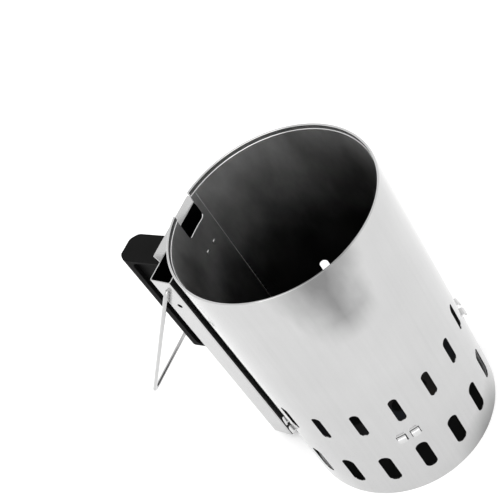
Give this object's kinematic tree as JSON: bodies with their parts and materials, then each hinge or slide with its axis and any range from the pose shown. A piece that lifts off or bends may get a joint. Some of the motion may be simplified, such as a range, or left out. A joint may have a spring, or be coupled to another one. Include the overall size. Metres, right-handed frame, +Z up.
{
  "type": "chimney charcoal starter",
  "caption": "Stainless-steel chimney charcoal starter with vent slots, an inner grate, a heat shield, a black loop grip, a lighter notch in the rim and a swinging wire bail.",
  "frame": {"origin": "centre of the footprint's bounding box, on the surface that the foot rests on; the cylinder's axis is at x = 0.0760 m", "axes": "+Z up along the cylinder; the grip, heat shield and bail are on the -X side; +Y completes the right-handed frame"},
  "size_m": [0.3426, 0.1906, 0.305],
  "materials": {
    "brushed_stainless": "satin rolled sheet",
    "shield_stainless": "satin sheet",
    "grate_steel": "pressed, heat-dulled",
    "wire_steel": "drawn wire, plated",
    "fastener_steel": "plated",
    "insert_brass": "turned",
    "black_resin": "fine moulded texture"
  },
  "bodies": {
    "chimney": {"chimney_shell": "brushed_stainless", "charcoal_grate": "grate_steel", "heat_shield": "shield_stainless", "grip": "black_resin", "shield_rivet_top_near": "fastener_steel", "shield_rivet_top_far": "fastener_steel", "shield_rivet_middle_near": "fastener_steel", "shield_rivet_middle_far": "fastener_steel", "shield_rivet_foot_near": "fastener_steel", "shield_rivet_foot_far": "fastener_steel", "grip_screw_top_near": "fastener_steel", "grip_screw_top_far": "fastener_steel", "grip_screw_foot_near": "fastener_steel", "grip_screw_foot_far": "fastener_steel", "grip_washer_top_near": "fastener_steel", "grip_washer_top_far": "fastener_steel", "grip_washer_foot_near": "fastener_steel", "grip_washer_foot_far": "fastener_steel", "grip_insert_top_near": "insert_brass", "grip_insert_top_far": "insert_brass", "grip_insert_foot_near": "insert_brass", "grip_insert_foot_far": "insert_brass"},
    "bail_handle": {"bail": "wire_steel"}
  },
  "joints": [
    {"name": "bail_swing", "type": "hinge", "parent": "chimney", "child": "bail_handle", "pos_m": [-0.03075, 0, 0.2545], "axis": [0, 1, 0], "range_deg": [-32, 172]}
  ]
}
